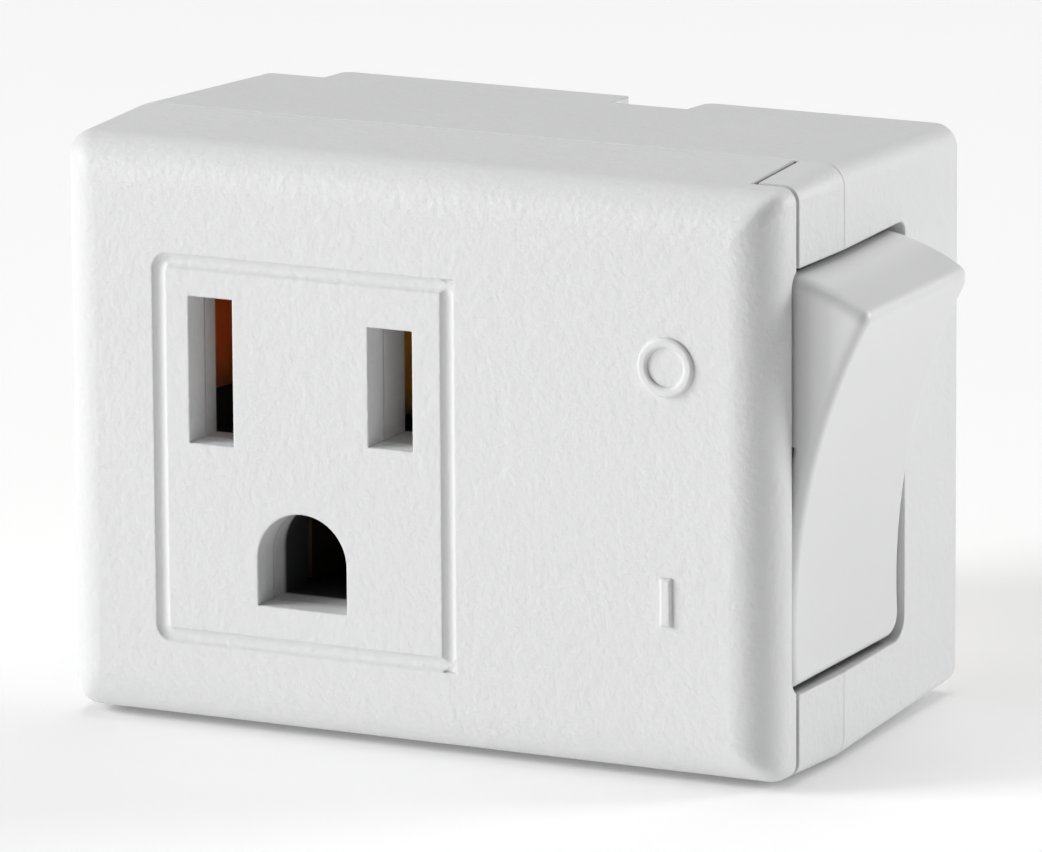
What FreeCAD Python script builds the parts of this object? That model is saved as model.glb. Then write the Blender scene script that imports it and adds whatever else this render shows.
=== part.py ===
import FreeCAD, Part
import math
import os
from types import SimpleNamespace

import Sketcher
from FreeCAD import Placement, Rotation, Vector

# Switched plug adapter: one grounded outlet on the front, three blades at the back,
# and a rocker switch on the right-hand side.
# Frame: the origin lies on the wall plane, midway between the two flat blades.
# X runs to the right as seen from the room, Y runs into the wall, Z runs up.
# "Forward" in the names below is a distance from the wall plane towards the room.

doc = FreeCAD.newDocument("SwitchedPlugAdapter")
sheet = doc.addObject("Spreadsheet::Sheet", "Sizes")

# Driving dimensions in millimetres, angles in degrees
SIZES = [
    # Outline of the body at its widest plane, measured from the plug's centre
    ("side_left", 17.65, "plug centre to the left side"),
    ("side_right", 32.9, "plug centre to the right side"),
    ("side_top", 14.75, "plug centre to the top"),
    ("side_bottom", 23.7, "plug centre to the bottom"),
    ("body_depth", 29.3, "wall plane to the front face"),
    ("cover_depth", 10.4, "depth of the front cover"),
    ("cover_draft_side", 1.95, "draft angle of the cover's sides"),
    ("cover_draft_top", 2.5, "draft angle of the cover's top"),
    ("cover_draft_bottom", 3.3, "draft angle of the cover's bottom"),
    ("housing_draft_side", 1.75, "draft angle of the housing's sides"),
    ("housing_draft_top", 2.9, "draft angle of the housing's top"),
    ("housing_draft_bottom", 1.6, "draft angle of the housing's bottom"),
    ("left_round", 2.0, "radius of the left long edges at the widest plane"),
    ("right_round", 1.5, "radius of the right long edges at the widest plane"),
    ("round_loss", 0.7, "how much smaller those radii are at the front face"),
    ("face_round", 2.8, "radius round the front face"),
    ("shell_wall", 2.2, "wall of both shells"),
    ("face_wall", 2.2, "thickness of the front face"),
    ("inner_round", 0.8, "radius of the long edges inside"),
    ("tongue_depth", 6.3, "how far the housing reaches forward beside the cover"),
    ("tongue_width", 2.95, "how far the tongue wraps over the top and bottom"),
    ("tongue_gap", 0.38, "gap between the tongue and the cover"),
    ("joint_bevel", 0.15, "bevel of the cover along the joint"),
    ("rim_bevel", 0.1, "bevel of the housing along the widest plane"),
    # Outlet
    ("blade_pitch", 12.7, "spacing of the two blade slots"),
    ("ground_drop", 11.86, "blade line to the ground pin"),
    ("slot_width", 3.13, "width of the blade slots"),
    ("neutral_slot", 9.55, "height of the neutral slot"),
    ("hot_slot", 7.75, "height of the hot slot"),
    ("ground_radius", 3.16, "radius of the ground opening's arch"),
    ("ground_floor", 3.06, "ground pin centre to the opening's flat floor"),
    ("panel_left", 10.02, "plug centre to the groove's left run"),
    ("panel_right", 10.35, "plug centre to the groove's right run"),
    ("panel_top", 6.95, "plug centre to the groove's top"),
    ("panel_bottom", 17.45, "plug centre to the groove's bottom"),
    ("panel_corner", 0.65, "radius of the groove's left corners"),
    ("groove_depth", 0.28, "depth of the groove"),
    ("groove_width", 0.95, "width of the groove"),
    # Raised marks beside the switch
    ("mark_place", 25.5, "plug centre to the marks"),
    ("mark_offset", 7.5, "switch level to each mark"),
    ("mark_height", 0.25, "height of the raised marks"),
    ("ring_outer", 1.9, "outer radius of the ring mark"),
    ("ring_inner", 1.27, "inner radius of the ring mark"),
    ("bar_length", 3.1, "length of the bar mark"),
    ("bar_width", 0.8, "width of the bar mark"),
    # Channels and ribs of the back
    ("channel_depth", 3.2, "depth of the two channels in the back"),
    ("left_channel", 11.5, "plug centre to the left channel"),
    ("right_channel", 9.3, "plug centre to the right channel"),
    ("right_channel_end", 14.75, "plug centre to the right channel's far side"),
    ("channel_round", 0.6, "radius of the channels' outer edges"),
    ("plug_pocket_half", 8.2, "half width of the pocket behind the plug block"),
    ("plug_pocket_top", 6.5, "plug centre to the pocket's top"),
    ("plug_pocket_bottom", 17.0, "plug centre to the pocket's bottom"),
    ("back_wall", 2.4, "wall behind the plug pocket"),
    # Screws and their posts
    ("screw_left", 12.9, "plug centre to the left screws"),
    ("screw_right", 12.02, "plug centre to the right screws"),
    ("screw_top", 9.95, "plug centre to the upper screws"),
    ("screw_bottom", 18.95, "plug centre to the lower screws"),
    ("post_radius", 2.3, "radius of the screw posts"),
    ("post_meet", 15.0, "forward place where the posts meet"),
    ("screw_radius", 1.25, "radius of the screw's shank"),
    ("screw_play", 0.1, "radial play round the shank"),
    ("screw_length", 14.0, "length of the shank"),
    ("head_radius", 2.3, "radius of the screw's head"),
    ("head_height", 1.5, "height of the screw's head"),
    ("head_play", 0.15, "radial play round the head"),
    ("head_sink", 1.7, "depth of the seat below the channel"),
    ("cross_width", 0.7, "width of the cross recess"),
    ("cross_length", 2.6, "length of the cross recess"),
    ("cross_depth", 0.8, "depth of the cross recess"),
    # Switch opening and rocker
    ("switch_level", 4.3, "plug centre down to the middle of the switch"),
    ("window_height", 27.2, "height of the switch opening"),
    ("window_rear", 8.8, "wall plane to the opening's rear edge"),
    ("window_inset", 3.1, "front face to the opening's front edge"),
    ("window_corner", 1.6, "lower rear corner radius of the opening"),
    ("window_top_corner", 0.9, "upper rear corner radius of the opening"),
    ("notch_corner", 1.2, "corner radius of the cover's notch"),
    ("rocker_side_gap", 0.42, "gap at the rocker's sides"),
    ("rocker_end_gap", 0.2, "gap at the rocker's round ends"),
    ("pivot_inset", 2.84, "right side to the rocker's pivot"),
    ("tip_reach", 5.2, "pivot to the rocker's tips"),
    ("face_reach", 3.4, "pivot to the middle of the rocker's face"),
    ("rocker_tilt", 11.8, "tilt of the rocker, each way"),
    ("rocker_inner", 0.8, "pivot to the rocker's inner edge"),
    ("rocker_wall", 1.2, "wall of the rocker"),
    ("rocker_skin", 1.5, "thickness of the rocker's face"),
    ("rocker_corner", 1.7, "rear corner radius of the rocker"),
    ("rocker_front_corner", 0.9, "front corner radius of the rocker"),
    ("rocker_edge", 0.7, "edge radius of the rocker's face"),
    ("recess_depth", 1.6, "depth of the recesses for the bearing lugs"),
    ("recess_half", 2.8, "half height of the recesses"),
    ("recess_reach", 2.05, "pivot to the far side of the recesses"),
    ("waist_half", 4.5, "half height of the narrow part of the rocker's hollow"),
    ("trunnion_radius", 1.2, "radius of the rocker's trunnions"),
    ("trunnion_play", 0.06, "radial play of the trunnions"),
    ("boss_radius", 2.7, "radius of the plunger's guide"),
    ("boss_reach", 5.5, "pivot to the end of the guide"),
    ("bore_radius", 1.75, "radius of the guide's bore"),
    ("bore_floor", 1.2, "pivot to the floor of the bore"),
    # Switch frame
    ("cheek_wall", 1.3, "thickness of the bearing cheeks"),
    ("cheek_play", 0.1, "gap between a cheek and the rocker"),
    ("cheek_clear", 0.3, "gap between the cheeks' edges and the tilted rocker"),
    ("lug_half", 2.1, "half width of the bearing lugs"),
    ("lug_reach", 1.45, "pivot to the end of the bearing lugs"),
    ("lug_mouth", 0.95, "half width of the snap-in mouth"),
    ("frame_half", 12.5, "half height of the switch frame"),
    ("frame_wall", 1.7, "thickness of the switch frame's base"),
    ("seat_gap", 0.05, "fitting gap between assembled pieces"),
    # Plunger and spring
    ("plunger_radius", 1.65, "radius of the plunger"),
    ("plunger_shoulder", 4.3, "pivot to the plunger's shoulder"),
    ("plunger_stem", 0.75, "radius of the plunger's stem"),
    ("stem_length", 2.6, "length of the plunger's stem"),
    ("tip_gap", 0.67, "lever pivot to the plunger's tip"),
    ("spring_wire", 0.4, "thickness of the spring's square wire"),
    ("spring_radius", 1.25, "mean radius of the spring"),
    ("spring_turns", 5.0, "turns of the spring"),
    # Contact lever and the fixed contact
    ("lever_distance", 10.56, "rocker pivot to the lever's knife edge"),
    ("lever_tilt", 7.0, "tilt of the contact lever, each way"),
    ("lever_vee", 12.0, "rise of the lever's arms"),
    ("lever_half", 7.3, "half length of the lever"),
    ("lever_width", 5.0, "width of the lever"),
    ("lever_thick", 0.8, "thickness of the lever"),
    ("lever_face", 0.5, "knife edge to the lever's outer face"),
    ("notch_half", 0.45, "half width of the lever's notch"),
    ("knife_play", 0.09, "gap over the knife edge"),
    ("knife_bevel", 0.25, "bevel that forms the knife edge"),
    ("contact_place", 6.0, "knife edge to the contact tips"),
    ("contact_radius", 1.3, "radius of the contact tips"),
    ("contact_height", 0.6, "height of the contact tips"),
    ("contact_gap", 0.06, "clearance left between closed contacts"),
    # Strips, contacts and blades
    ("strip", 0.6, "thickness of the contact strips"),
    ("leaf_height", 7.0, "height of the blade contacts"),
    ("leaf_rise", 1.5, "neutral contact's middle above the blade line"),
    ("hot_leaf_rise", 0.6, "hot contact's middle above the blade line"),
    ("lip_half", 1.75, "half opening at the contacts' lips"),
    ("pinch_half", 0.6, "half opening where the leaves grip"),
    ("root_half", 1.7, "half opening at the contacts' roots"),
    ("pinch_share", 0.35, "gripping line as a share of the leaf, from the lip"),
    ("neutral_lip", 3.75, "front face to the neutral lips"),
    ("hot_lip", 5.25, "front face to the hot lips"),
    ("ground_lip", 7.0, "front face to the ground lips"),
    ("ground_lip_half", 2.9, "half opening at the ground lips"),
    ("ground_pinch_half", 2.2, "half opening where the ground leaves grip"),
    ("ground_leaf", 5.6, "height of the ground contact"),
    ("hot_web", 14.3, "forward place of the hot contact's web"),
    ("web_level", 10.7, "forward place where blades meet contacts"),
    ("load_reach", 15.0, "plug centre to the hot strap's end"),
    ("tab_height", 5.0, "height of the load terminal"),
    ("line_half", 2.5, "half width of the line terminal"),
    ("line_place", 9.9, "plug centre to the line rivet"),
    ("line_tab_half", 2.2, "half width of the line terminal's tab"),
    ("line_tab_top", 2.3, "top of the line tab above the blade line"),
    ("rivet_radius", 0.9, "radius of the rivets"),
    ("rivet_head", 1.5, "radius of the rivet heads"),
    ("rivet_cap", 0.5, "height of the rivet heads"),
    ("rivet_play", 0.05, "radial play round the rivets"),
    ("neutral_rivet", 2.4, "plug centre to the neutral rivet"),
    ("blade_thick", 1.52, "thickness of the flat blades"),
    ("neutral_blade_width", 7.93, "width of the neutral blade"),
    ("hot_blade_width", 6.35, "width of the hot blade"),
    ("blade_length", 16.5, "wall plane to the blade tips"),
    ("blade_bevel", 0.45, "bevel at the blade tips"),
    ("blade_hole", 1.7, "radius of the hole in the blades"),
    ("blade_hole_place", 11.7, "wall plane to the hole in the blades"),
    ("foot_end", 0.4, "plug centre to the neutral foot's end"),
    ("hot_foot_end", 11.9, "plug centre to the hot foot's end"),
    ("pin_radius", 2.4, "radius of the ground pin"),
    ("pin_neck", 1.8, "radius of the ground pin inside the body"),
    ("neck_end", 0.25, "wall plane to the end of the pin's neck"),
    ("pin_length", 19.8, "wall plane to the ground pin's tip"),
    ("pin_flange", 3.7, "radius of the ground pin's flange"),
    ("pin_stub", 1.3, "radius of the ground pin's riveted stub"),
    # Moulded insulators
    ("carrier_half", 9.6, "half width of the contact carrier"),
    ("carrier_top", 7.0, "plug centre to the carrier's top"),
    ("carrier_bottom", 17.6, "plug centre to the carrier's bottom"),
    ("carrier_back", 14.4, "forward place of the carrier's back"),
    ("chamber_half", 2.7, "half width of the blade chambers"),
    ("ground_chamber", 3.7, "half width of the ground chamber"),
    ("chamber_play", 0.4, "gap above and below the contacts"),
    ("lip_play", 0.1, "gap between chamber fronts and contact lips"),
    ("holder_front", 9.1, "forward place of the blade holder's front"),
    ("blade_play", 0.06, "gap round the blades"),
    ("pin_play", 0.3, "radial gap round the ground pin"),
]

for row, (name, number, meaning) in enumerate(SIZES, start=1):
    sheet.set("A%d" % row, meaning)
    sheet.set("B%d" % row, str(number))
    sheet.setAlias("B%d" % row, name)
doc.recompute()


class Size:
    """A number that remembers the sheet formula it comes from."""

    def __init__(self, number, formula):
        self.number = number
        self.formula = formula

    def __add__(self, other):
        other = as_size(other)
        return Size(self.number + other.number, "(%s + %s)" % (self.formula, other.formula))

    def __radd__(self, other):
        return as_size(other) + self

    def __sub__(self, other):
        other = as_size(other)
        return Size(self.number - other.number, "(%s - %s)" % (self.formula, other.formula))

    def __rsub__(self, other):
        return as_size(other) - self

    def __mul__(self, other):
        other = as_size(other)
        return Size(self.number * other.number, "(%s * %s)" % (self.formula, other.formula))

    def __rmul__(self, other):
        return as_size(other) * self

    def __truediv__(self, other):
        other = as_size(other)
        return Size(self.number / other.number, "(%s / %s)" % (self.formula, other.formula))

    def __neg__(self):
        return Size(-self.number, "(-1 * %s)" % self.formula)


def as_size(value):
    return value if isinstance(value, Size) else Size(float(value), repr(float(value)))


def tan_of(angle):
    return Size(math.tan(math.radians(angle.number)), "tan(%s)" % angle.formula)


def cos_of(angle):
    return Size(math.cos(math.radians(angle.number)), "cos(%s)" % angle.formula)


def sin_of(angle):
    return Size(math.sin(math.radians(angle.number)), "sin(%s)" % angle.formula)


def root_of(square):
    return Size(math.sqrt(square.number), "sqrt(%s)" % square.formula)


S = SimpleNamespace()
for name, number, meaning in SIZES:
    setattr(S, name, Size(float(sheet.get(name)), "Sizes." + name))


def bind(thing, place, size):
    """Tie one property of a document object to the sheet."""
    thing.setExpression(place, as_size(size).formula)


def new_body(label):
    body = doc.addObject("PartDesign::Body", label)
    body.Label = label
    return body


def origin_plane(body, role):
    for feature in body.Origin.OriginFeatures:
        if feature.Role == role:
            return feature


# Outlines are lists of corners. A corner is (x, y), or (x, y, radius) where an arc of that
# radius leads from it to the next corner. A positive radius bulges to the right of the way
# travelled, which is outwards on an outline that runs anticlockwise; a negative one bulges inwards.

def arc_centre(start, end, radius):
    """Centre of the shorter arc between two points."""
    middle = (start + end) * 0.5
    chord = end - start
    height = math.sqrt(max(radius * radius - chord.Length ** 2 / 4, 0.0))
    normal = Vector(-chord.y, chord.x, 0).normalize()
    return middle + normal * math.copysign(height, radius)


def draw_outline(sketch, corners, closed=True):
    """Draw the outline; an open one ends at its last corner."""
    points = [Vector(as_size(c[0]).number, as_size(c[1]).number, 0) for c in corners]
    drawn = corners if closed else corners[:-1]
    ends = []
    for i, corner in enumerate(drawn):
        start = points[i]
        end = points[(i + 1) % len(points)]
        if len(corner) == 2:
            edge = sketch.addGeometry(Part.LineSegment(start, end), False)
            ends.append((edge, 1, 2))
            continue
        radius = as_size(corner[2]).number
        centre = arc_centre(start, end, radius)
        circle = Part.Circle(centre, Vector(0, 0, 1), abs(radius))
        first, last = (start, end) if radius > 0 else (end, start)
        turn_first = math.atan2(first.y - centre.y, first.x - centre.x)
        turn_last = math.atan2(last.y - centre.y, last.x - centre.x)
        if turn_last < turn_first:
            turn_last += 2 * math.pi
        edge = sketch.addGeometry(Part.ArcOfCircle(circle, turn_first, turn_last), False)
        ends.append((edge, 1, 2) if radius > 0 else (edge, 2, 1))
    for i, corner in enumerate(drawn):
        edge, begin, finish = ends[i]
        if closed or i + 1 < len(ends):
            following, next_begin, next_finish = ends[(i + 1) % len(ends)]
            sketch.addConstraint(Sketcher.Constraint("Coincident", edge, finish, following, next_begin))
        else:
            place_point(sketch, edge, finish, corners[-1][0], corners[-1][1])
        place_point(sketch, edge, begin, corner[0], corner[1])
        if len(corner) == 3:
            radius = as_size(corner[2])
            tie = sketch.addConstraint(Sketcher.Constraint("Radius", edge, abs(radius.number)))
            size = radius if radius.number > 0 else -radius
            sketch.setExpression("Constraints[%d]" % tie, size.formula)


def place_point(sketch, edge, end, x, y):
    """Fix one point of a sketch by its distances from the sketch's origin."""
    for kind, size in (("DistanceX", as_size(x)), ("DistanceY", as_size(y))):
        tie = sketch.addConstraint(Sketcher.Constraint(kind, -1, 1, edge, end, size.number))
        sketch.setExpression("Constraints[%d]" % tie, size.formula)


def draw_circle(sketch, x, y, radius):
    x, y, radius = as_size(x), as_size(y), as_size(radius)
    circle = Part.Circle(Vector(x.number, y.number, 0), Vector(0, 0, 1), radius.number)
    edge = sketch.addGeometry(circle, False)
    place_point(sketch, edge, 3, x, y)
    tie = sketch.addConstraint(Sketcher.Constraint("Radius", edge, radius.number))
    sketch.setExpression("Constraints[%d]" % tie, radius.formula)


def rectangle(left, right, bottom, top):
    return [(left, bottom), (right, bottom), (right, top), (left, top)]


def round_rectangle(left, right, bottom, top, radius, right_radius=None):
    """Rectangle with round corners; the right pair may have a radius of its own."""
    other = radius if right_radius is None else right_radius
    return [
        (left + radius, bottom), (right - other, bottom, other),
        (right, bottom + other), (right, top - other, other),
        (right - other, top), (left + radius, top, radius),
        (left, top - radius), (left, bottom + radius, radius),
    ]


def new_sketch(body, name, role, offset, outlines=(), circles=()):
    """A sketch on one of the body's origin planes, moved along the plane's normal by offset."""
    sketch = body.newObject("Sketcher::SketchObject", name)
    sketch.AttachmentSupport = (origin_plane(body, role), "")
    sketch.MapMode = "FlatFace"
    offset = as_size(offset)
    sketch.AttachmentOffset = Placement(Vector(0, 0, offset.number), Rotation())
    bind(sketch, ".AttachmentOffset.Base.z", offset)
    for corners in outlines:
        draw_outline(sketch, corners)
    for x, y, radius in circles:
        draw_circle(sketch, x, y, radius)
    return sketch


def front_sketch(body, name, forward, outlines=(), circles=()):
    """Sketch seen from the room: x to the right, y up, normal towards the room."""
    return new_sketch(body, name, "XZ_Plane", forward, outlines, circles)


def top_sketch(body, name, level, outlines=(), circles=()):
    """Sketch seen from above: x to the right, y into the wall, normal up."""
    return new_sketch(body, name, "XY_Plane", level, outlines, circles)


def side_sketch(body, name, across, outlines=(), circles=()):
    """Sketch seen from the right: x into the wall, y up, normal to the right."""
    return new_sketch(body, name, "YZ_Plane", across, outlines, circles)


def sketch_feature(body, kind, sketch, length, back):
    feature = body.newObject("PartDesign::" + kind, sketch.Name + "_" + kind.lower())
    feature.Profile = sketch
    feature.Reversed = back
    bind(feature, "Length", length)
    before = body.Shape.Volume if kind == "Pocket" else 0.0
    doc.recompute()
    if kind == "Pocket" and not feature.Shape.Volume < before - 1e-6:
        raise RuntimeError(feature.Name + " cuts nothing")
    return feature


def pad(body, sketch, length, back=False):
    """Material from the sketch along its normal, or against it."""
    return sketch_feature(body, "Pad", sketch, length, back)


def pocket(body, sketch, length, ahead=False):
    """A cut from the sketch against its normal, or along it."""
    return sketch_feature(body, "Pocket", sketch, length, ahead)


def round_edges(body, name, radius, chosen, kind="Fillet"):
    """Round or bevel the edges of the body that the test picks."""
    base = body.Tip
    names = ["Edge%d" % (i + 1) for i, edge in enumerate(base.Shape.Edges) if chosen(edge)]
    if not names:
        raise RuntimeError(name + " finds no edge")
    feature = body.newObject("PartDesign::" + kind, name)
    feature.Base = (base, names)
    bind(feature, "Radius" if kind == "Fillet" else "Size", radius)
    doc.recompute()
    return feature


def near(a, b, within=0.02):
    return abs(a - b) < within


def box_of(edge):
    return edge.BoundBox


# Places that several pieces share
ORIGIN = Size(0.0, "0")
BLADE = S.blade_pitch / 2
FACE_BACK = S.body_depth - S.face_wall
SEAM = S.body_depth - S.cover_depth
TONGUE_END = SEAM + S.tongue_depth
BACK_FLOOR = S.channel_depth + S.shell_wall
MIDDLE = -S.switch_level
WINDOW_FRONT = S.body_depth - S.window_inset
WINDOW_TOP = MIDDLE + S.window_height / 2
WINDOW_BOTTOM = MIDDLE - S.window_height / 2
PIVOT = S.side_right - S.pivot_inset
ROCKER_REAR = S.window_rear + S.rocker_side_gap
ROCKER_FRONT = WINDOW_FRONT - S.rocker_side_gap
ROCKER_MIDDLE = (S.window_rear + WINDOW_FRONT) / 2
RECESS_REAR = ROCKER_REAR + S.recess_depth
RECESS_FRONT = ROCKER_FRONT - S.recess_depth
END_RADIUS = S.window_height / 2 - S.rocker_end_gap
LEVER_PIVOT = PIVOT - S.lever_distance
FOOT_BACK = S.web_level - S.blade_thick
OUTSIDE = 3.0


def screw_places():
    for across in (-S.screw_left, S.screw_right):
        for up in (S.screw_top, -S.screw_bottom):
            yield across, up


def shell_section(shell, forward, inset=ORIGIN, inner=False):
    """Outline of a drafted shell at one forward place, moved inwards by the inset."""
    if shell == "cover":
        away = forward - SEAM
        drafts = S.cover_draft_side, S.cover_draft_top, S.cover_draft_bottom
        loss = S.round_loss * away / S.cover_depth
    else:
        away = SEAM - forward
        drafts = S.housing_draft_side, S.housing_draft_top, S.housing_draft_bottom
        loss = ORIGIN
    side, top, bottom = [inset + away * tan_of(draft) for draft in drafts]
    left_round = S.inner_round if inner else S.left_round - loss
    right_round = S.inner_round if inner else S.right_round - loss
    return round_rectangle(side - S.side_left, S.side_right - side,
                           bottom - S.side_bottom, S.side_top - top, left_round, right_round)


def shell_loft(body, kind, name, shell, start, end, insets=(ORIGIN, ORIGIN), inner=False):
    """Straight-sided loft between two sections of a shell."""
    first = front_sketch(body, name + "_start", start, [shell_section(shell, start, insets[0], inner)])
    last = front_sketch(body, name + "_end", end, [shell_section(shell, end, insets[1], inner)])
    loft = body.newObject("PartDesign::" + kind, name)
    loft.Profile = first
    loft.Sections = [last]
    loft.Ruled = True
    doc.recompute()
    return loft


def shell_hollow(body, name, shell, start, end):
    """The space inside a shell's walls, between two forward places."""
    walls = (S.shell_wall, S.shell_wall)
    return shell_loft(body, "SubtractiveLoft", name, shell, start, end, walls, inner=True)


def arch_opening(half, floor):
    """Ground opening: a half circle over a flat floor, about the ground pin's centre."""
    centre = -S.ground_drop
    return [(-half, centre - floor), (half, centre - floor), (half, centre, half),
            (ORIGIN, centre + half, half), (-half, centre)]


def slot_outline(across, width, height):
    return rectangle(across - width / 2, across + width / 2, -height / 2, height / 2)


def outlet_outlines():
    return [slot_outline(-BLADE, S.slot_width, S.neutral_slot),
            slot_outline(BLADE, S.slot_width, S.hot_slot),
            arch_opening(S.ground_radius, S.ground_floor)]


def tongue_region(gap):
    """Strip along the right side that belongs to the housing, in front view."""
    edge = S.side_right - S.tongue_width - gap
    return rectangle(edge, S.side_right + OUTSIDE, -S.side_bottom - OUTSIDE, S.side_top + OUTSIDE)


def window_outline(front):
    """Switch opening in side view, with round corners at its rear."""
    rear = -S.window_rear
    low = S.window_corner
    high = S.window_top_corner
    return [(-front, WINDOW_BOTTOM), (rear - low, WINDOW_BOTTOM, low),
            (rear, WINDOW_BOTTOM + low), (rear, WINDOW_TOP - high, high),
            (rear - high, WINDOW_TOP), (-front, WINDOW_TOP)]


def make_front_cover():
    """Front shell: drafted tray with a rounded face, outlet openings, groove and marks."""
    body = new_body("front_cover")
    rim = SEAM + S.joint_bevel
    shell_loft(body, "AdditiveLoft", "cover_shell", "cover", rim, S.body_depth)
    front = S.body_depth.number
    round_edges(body, "face_rounding", S.face_round,
                lambda e: near(box_of(e).YMin, -front) and near(box_of(e).YMax, -front))
    shell_loft(body, "AdditiveLoft", "cover_rim", "cover", SEAM, rim, (S.joint_bevel, ORIGIN))
    shell_hollow(body, "cover_inside", "cover", SEAM, FACE_BACK)

    posts = [(x, z, S.post_radius) for x, z in screw_places()]
    post = front_sketch(body, "cover_posts", S.post_meet, circles=posts)
    pad(body, post, FACE_BACK - S.post_meet + S.seat_gap)
    pilots = [(x, z, S.screw_radius + S.screw_play) for x, z in screw_places()]
    pilot = front_sketch(body, "screw_pilots", S.post_meet, circles=pilots)
    head_seat = S.channel_depth + S.head_sink
    pocket(body, pilot, head_seat + S.screw_length - S.post_meet + 1.0, ahead=True)

    tongue = front_sketch(body, "tongue_clearance", SEAM, [tongue_region(S.tongue_gap)])
    pocket(body, tongue, S.tongue_depth + S.tongue_gap, ahead=True)
    corner = S.notch_corner
    notch = side_sketch(body, "switch_notch", S.side_right + OUTSIDE, [[
        (-WINDOW_FRONT, WINDOW_BOTTOM + corner, corner), (-WINDOW_FRONT + corner, WINDOW_BOTTOM),
        (-SEAM, WINDOW_BOTTOM), (-SEAM, WINDOW_TOP),
        (-WINDOW_FRONT + corner, WINDOW_TOP, corner), (-WINDOW_FRONT, WINDOW_TOP - corner)]])
    pocket(body, notch, OUTSIDE + S.tongue_width)

    openings = front_sketch(body, "outlet_openings", S.body_depth, outlet_outlines())
    pocket(body, openings, S.face_wall + S.seat_gap)
    make_panel_groove(body)
    make_marks(body)
    return body


def make_panel_groove(body):
    """Shallow round-bottomed groove that frames the outlet, round at the left, square at the right."""
    corner = S.panel_corner
    half = S.groove_width / 2
    top, low, left = S.panel_top, -S.panel_bottom, -S.panel_left
    right = S.panel_right + half
    path = front_sketch(body, "groove_path", S.body_depth)
    draw_outline(path, [(right, top), (left + corner, top, corner), (left, top - corner),
                        (left, low + corner, corner), (left + corner, low), (right, low)], closed=False)
    radius = (half * half + S.groove_depth * S.groove_depth) / (2 * S.groove_depth)
    centre = -S.body_depth - radius + S.groove_depth
    section = side_sketch(body, "groove_section", right, circles=[(centre, top, radius)])
    groove = body.newObject("PartDesign::SubtractivePipe", "panel_groove")
    groove.Profile = section
    groove.Spine = path
    before = body.Shape.Volume
    doc.recompute()
    if not groove.Shape.Volume < before:
        raise RuntimeError("the groove cuts nothing")
    right_run = top_sketch(body, "groove_right_run", top + half, circles=[(S.panel_right, centre, radius)])
    pocket(body, right_run, top - low + S.groove_width)


def make_marks(body):
    """Raised ring above and raised bar below, beside the switch."""
    ring_level = MIDDLE + S.mark_offset
    bar_level = MIDDLE - S.mark_offset
    half = S.bar_width / 2
    bar = rectangle(S.mark_place - half, S.mark_place + half,
                    bar_level - S.bar_length / 2, bar_level + S.bar_length / 2)
    marks = front_sketch(body, "raised_marks", S.body_depth, [bar], [
        (S.mark_place, ring_level, S.ring_outer), (S.mark_place, ring_level, S.ring_inner)])
    pad(body, marks, S.mark_height)
    crown = -(S.body_depth + S.mark_height).number
    round_edges(body, "mark_bevel", S.mark_height / 2,
                lambda e: near(box_of(e).YMin, crown, 0.01) and near(box_of(e).YMax, crown, 0.01), kind="Chamfer")


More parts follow.
